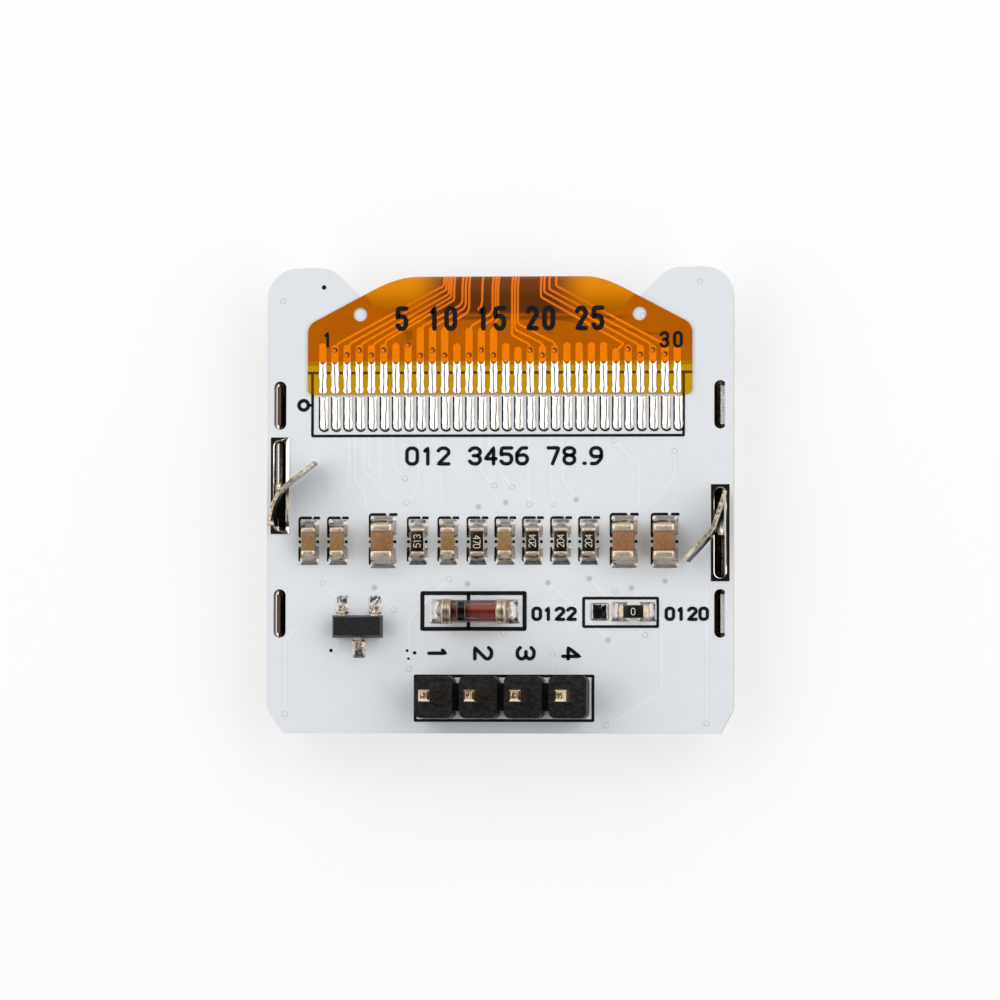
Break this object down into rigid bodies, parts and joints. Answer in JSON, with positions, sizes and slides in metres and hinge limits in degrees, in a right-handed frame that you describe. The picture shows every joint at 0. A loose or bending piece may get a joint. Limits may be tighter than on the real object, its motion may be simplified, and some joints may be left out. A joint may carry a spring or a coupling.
{
  "type": "oled display module",
  "caption": "Small display module: glass panel in a steel frame under a white circuit board, with a folded amber flex circuit, soldered chip parts and a pin header.",
  "frame": {"origin": "under the middle of the circuit board, in the plane of the steel bezel that the module rests on", "axes": "+Z out of the board's back, along the header pins; +Y towards the fold of the flex circuit; +X to the right seen from the back with the fold at the top"},
  "size_m": [0.0266, 0.0266, 0.0116],
  "materials": {
    "board": "white solder mask over glass-fibre board",
    "tin_plating": "tinned copper, uneven",
    "frame_steel": "nickel-plated stamped sheet",
    "polarizer": "dark glossy film",
    "panel_glass": "clear ground-edge glass",
    "chip_silicon": "bare silicon",
    "foam_tape": "closed-cell foam",
    "flex_film": "amber polyimide over copper",
    "tinned_copper": "bright tinned copper",
    "solder": "bright solder",
    "terminal_tin": "matt tin",
    "small_ceramic": "fired ceramic, satin",
    "large_ceramic": "fired ceramic, satin",
    "resistor_coat": "black glaze over white ceramic",
    "moulded_black": "moulded, slightly rough",
    "lead_tin": "tinned lead",
    "diode_glass": "clear drawn glass",
    "diode_stud": "oxidised copper-clad stud",
    "header_black": "moulded, satin",
    "pin_gold": "thin gold plating"
  },
  "bodies": {
    "root": {"address_resistor": "resistor_coat", "address_resistor_solder": "solder", "address_resistor_terminals": "terminal_tin", "board_joints": "solder", "chip_resistor_1": "resistor_coat", "chip_resistor_2": "resistor_coat", "chip_resistor_3": "resistor_coat", "chip_resistor_4": "resistor_coat", "chip_resistor_5": "resistor_coat", "chip_resistor_solder": "solder", "chip_resistor_terminals": "terminal_tin", "circuit_board": "board", "diode_cap_left": "terminal_tin", "diode_cap_right": "terminal_tin", "diode_die": "chip_silicon", "diode_glass": "diode_glass", "diode_solder": "solder", "diode_stud_left": "diode_stud", "diode_stud_right": "diode_stud", "display_frame": "frame_steel", "driver_chip": "chip_silicon", "flex_circuit": "flex_film", "flex_fingers": "tinned_copper", "foam_tape": "foam_tape", "front_glass": "panel_glass", "header_body": "header_black", "header_pin_1": "pin_gold", "header_pin_2": "pin_gold", "header_pin_3": "pin_gold", "header_pin_4": "pin_gold", "header_solder": "solder", "jumper_pad": "solder", "large_capacitor_1": "large_ceramic", "large_capacitor_2": "large_ceramic", "large_capacitor_3": "large_ceramic", "large_capacitor_solder": "solder", "large_capacitor_terminals": "terminal_tin", "polarizer_film": "polarizer", "rear_glass": "panel_glass", "regulator_body": "moulded_black", "regulator_lead_1": "lead_tin", "regulator_lead_2": "lead_tin", "regulator_lead_3": "lead_tin", "regulator_solder": "solder", "slot_plating_left": "tin_plating", "slot_plating_right": "tin_plating", "small_capacitor_1": "small_ceramic", "small_capacitor_2": "small_ceramic", "small_capacitor_3": "small_ceramic", "small_capacitor_4": "small_ceramic", "small_capacitor_solder": "solder", "small_capacitor_terminals": "terminal_tin"}
  },
  "joints": []
}
